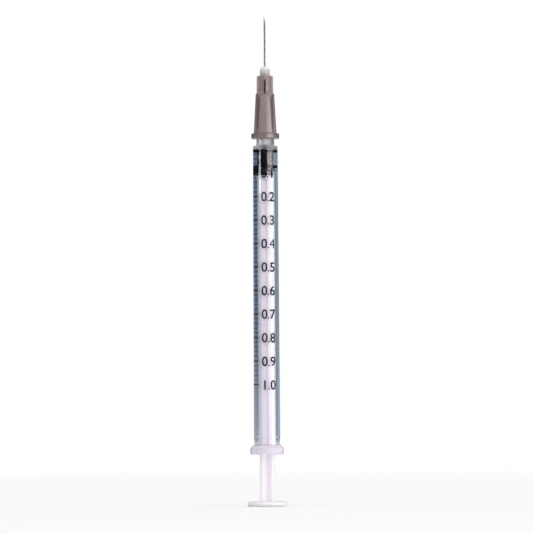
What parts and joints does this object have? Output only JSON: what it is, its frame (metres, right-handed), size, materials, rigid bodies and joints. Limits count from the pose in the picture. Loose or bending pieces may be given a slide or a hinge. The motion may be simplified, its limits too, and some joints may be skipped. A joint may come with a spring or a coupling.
{
  "type": "syringe with needle",
  "caption": "Small slip-tip syringe: clear graduated barrel with finger flange, black gasket on a ribbed plunger rod, and a grey-hubbed bevelled needle that pulls off.",
  "frame": {"origin": "under the middle of the thumb rest, on the surface that the syringe stands on", "axes": "+Z along the syringe towards the needle's point, -Y towards the side that the numbers face, Y across the two wings of the finger flange"},
  "size_m": [0.0098, 0.013, 0.1205],
  "materials": {
    "clear_plastic": "clear polypropylene, polished, faintly blue",
    "scale_ink": "printed dark ink",
    "gasket_rubber": "smooth moulded rubber, lightly oiled",
    "rod_plastic": "milky white moulding, soft gloss",
    "hub_plastic": "translucent grey-brown, soft gloss",
    "needle_steel": "drawn and polished stainless steel",
    "adhesive": "cured clear glue, milky"
  },
  "bodies": {
    "barrel": {"barrel": "clear_plastic", "scale_lines": "scale_ink"},
    "gasket": {"plunger_gasket": "gasket_rubber"},
    "rod": {"plunger_rod": "rod_plastic"},
    "needle": {"needle_hub": "hub_plastic", "needle_cannula": "needle_steel", "needle_adhesive": "adhesive"}
  },
  "joints": [
    {"name": "plunger_draw", "type": "slide", "parent": "barrel", "child": "gasket", "axis": [0, 0, -1], "range_m": [0, 0.065]},
    {"name": "rod_turn", "type": "hinge", "parent": "gasket", "child": "rod", "pos_m": [0, 0, 0], "axis": [0, 0, 1], "continuous": true},
    {"name": "needle_pull", "type": "slide", "parent": "barrel", "child": "needle", "axis": [0, 0, 1], "range_m": [0, 0.015]}
  ]
}
